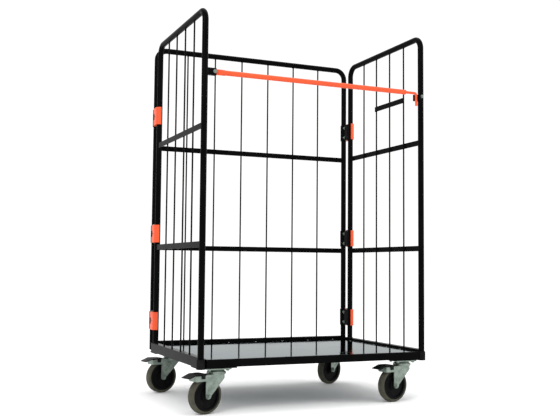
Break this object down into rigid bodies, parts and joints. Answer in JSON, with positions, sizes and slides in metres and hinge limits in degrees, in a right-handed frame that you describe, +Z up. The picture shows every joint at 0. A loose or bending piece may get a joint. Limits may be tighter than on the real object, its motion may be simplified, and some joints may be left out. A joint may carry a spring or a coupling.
{
  "type": "roll cage container",
  "caption": "Open-fronted tubular steel roll cage with hinged barred sides, a fold-up deck, a lift-up restraint bar and braked swivel casters.",
  "frame": {"origin": "on the floor, midway between the side panels and midway between the front posts and the back panel", "axes": "+Z up, +X to the right seen from the open side, -Y towards the open side"},
  "size_m": [1.1569, 0.808, 1.7],
  "materials": {
    "black_paint": "glossy black powder coat",
    "orange_paint": "satin orange powder coat",
    "zinc": "dull zinc plate",
    "deck_steel": "smooth bright galvanised sheet",
    "bumper_black": "moulded black rubber",
    "hub_plastic": "moulded black plastic",
    "tyre_rubber": "olive grey rubber tread",
    "pedal_black": "black coated steel"
  },
  "bodies": {
    "back_panel": {"back_frame": "black_paint", "back_rods": "black_paint", "back_flat_bars": "black_paint", "back_bottom_rail": "black_paint", "back_hinge_leaves": "black_paint", "hinge_pins": "zinc", "deck_lugs": "black_paint"},
    "left_panel": {"left_frame": "black_paint", "left_rods": "black_paint", "left_flat_bars": "black_paint", "left_bottom_rail": "black_paint", "left_foot_sleeve": "bumper_black", "left_hinge_leaves": "orange_paint", "left_mount_plates": "black_paint", "left_caster_bolts": "zinc", "bar_bracket": "black_paint", "bar_pivot_bolt": "zinc", "caster_front_left_plate": "zinc", "caster_rear_left_plate": "zinc"},
    "right_panel": {"right_frame": "black_paint", "right_rods": "black_paint", "right_flat_bars": "black_paint", "right_bottom_rail": "black_paint", "right_foot_sleeve": "bumper_black", "right_hinge_leaves": "orange_paint", "right_mount_plates": "black_paint", "right_caster_bolts": "zinc", "right_handle": "black_paint", "bar_keeper": "black_paint", "caster_front_right_plate": "zinc", "caster_rear_right_plate": "zinc"},
    "deck": {"deck_frame": "black_paint", "deck_sheet": "deck_steel", "deck_cross_members": "black_paint", "deck_eyes": "black_paint"},
    "bar": {"restraint_bar": "orange_paint", "restraint_hook": "orange_paint"},
    "front_left_fork": {"caster_front_left_fork": "zinc", "caster_front_left_axle": "zinc"},
    "front_left_wheel": {"caster_front_left_hub": "hub_plastic", "caster_front_left_tyre": "tyre_rubber"},
    "front_left_pedal": {"caster_front_left_pedal": "pedal_black"},
    "rear_left_fork": {"caster_rear_left_fork": "zinc", "caster_rear_left_axle": "zinc"},
    "rear_left_wheel": {"caster_rear_left_hub": "hub_plastic", "caster_rear_left_tyre": "tyre_rubber"},
    "rear_left_pedal": {"caster_rear_left_pedal": "pedal_black"},
    "front_right_fork": {"caster_front_right_fork": "zinc", "caster_front_right_axle": "zinc"},
    "front_right_wheel": {"caster_front_right_hub": "hub_plastic", "caster_front_right_tyre": "tyre_rubber"},
    "front_right_pedal": {"caster_front_right_pedal": "pedal_black"},
    "rear_right_fork": {"caster_rear_right_fork": "zinc", "caster_rear_right_axle": "zinc"},
    "rear_right_wheel": {"caster_rear_right_hub": "hub_plastic", "caster_rear_right_tyre": "tyre_rubber"},
    "rear_right_pedal": {"caster_rear_right_pedal": "pedal_black"}
  },
  "joints": [
    {"name": "left_panel_swing", "type": "hinge", "parent": "back_panel", "child": "left_panel", "pos_m": [-0.538, 0.35, 0], "axis": [0, 0, -1], "range_deg": [0, 90]},
    {"name": "right_panel_swing", "type": "hinge", "parent": "back_panel", "child": "right_panel", "pos_m": [0.538, 0.35, 0], "axis": [0, 0, 1], "range_deg": [0, 90]},
    {"name": "deck_flip", "type": "hinge", "parent": "back_panel", "child": "deck", "pos_m": [0, 0.357, 0.231], "axis": [-1, 0, 0], "range_deg": [0, 88]},
    {"name": "bar_lift", "type": "hinge", "parent": "left_panel", "child": "bar", "pos_m": [-0.4905, -0.379, 1.42], "axis": [0, -1, 0], "range_deg": [0, 90]},
    {"name": "front_left_swivel", "type": "hinge", "parent": "left_panel", "child": "front_left_fork", "pos_m": [-0.45, -0.341, 0.161], "axis": [0, 0, 1], "continuous": true},
    {"name": "front_left_roll", "type": "hinge", "parent": "front_left_fork", "child": "front_left_wheel", "pos_m": [-0.50479, -0.35671, 0.075], "axis": [0.2756, -0.9613, 0], "continuous": true},
    {"name": "front_left_brake", "type": "hinge", "parent": "front_left_fork", "child": "front_left_pedal", "pos_m": [-0.53075, -0.36415, 0.1535], "axis": [0.2756, -0.9613, 0], "range_deg": [0, 5]},
    {"name": "rear_left_swivel", "type": "hinge", "parent": "left_panel", "child": "rear_left_fork", "pos_m": [-0.45, 0.303, 0.161], "axis": [0, 0, 1], "continuous": true},
    {"name": "rear_left_roll", "type": "hinge", "parent": "rear_left_fork", "child": "rear_left_wheel", "pos_m": [-0.50575, 0.29115, 0.075], "axis": [0.2079, -0.9781, 0], "continuous": true},
    {"name": "rear_left_brake", "type": "hinge", "parent": "rear_left_fork", "child": "rear_left_pedal", "pos_m": [-0.53216, 0.28553, 0.1535], "axis": [0.2079, -0.9781, 0], "range_deg": [0, 5]},
    {"name": "front_right_swivel", "type": "hinge", "parent": "right_panel", "child": "front_right_fork", "pos_m": [0.45, -0.341, 0.161], "axis": [0, 0, 1], "continuous": true},
    {"name": "front_right_roll", "type": "hinge", "parent": "front_right_fork", "child": "front_right_wheel", "pos_m": [0.39387, -0.3509, 0.075], "axis": [0.1736, -0.9848, 0], "continuous": true},
    {"name": "front_right_brake", "type": "hinge", "parent": "front_right_fork", "child": "front_right_pedal", "pos_m": [0.36728, -0.35559, 0.1535], "axis": [0.1736, -0.9848, 0], "range_deg": [0, 5]},
    {"name": "rear_right_swivel", "type": "hinge", "parent": "right_panel", "child": "rear_right_fork", "pos_m": [0.45, 0.303, 0.161], "axis": [0, 0, 1], "continuous": true},
    {"name": "rear_right_roll", "type": "hinge", "parent": "rear_right_fork", "child": "rear_right_wheel", "pos_m": [0.39644, 0.28351, 0.075], "axis": [0.342, -0.9397, 0], "continuous": true},
    {"name": "rear_right_brake", "type": "hinge", "parent": "rear_right_fork", "child": "rear_right_pedal", "pos_m": [0.37107, 0.27427, 0.1535], "axis": [0.342, -0.9397, 0], "range_deg": [0, 5]}
  ]
}
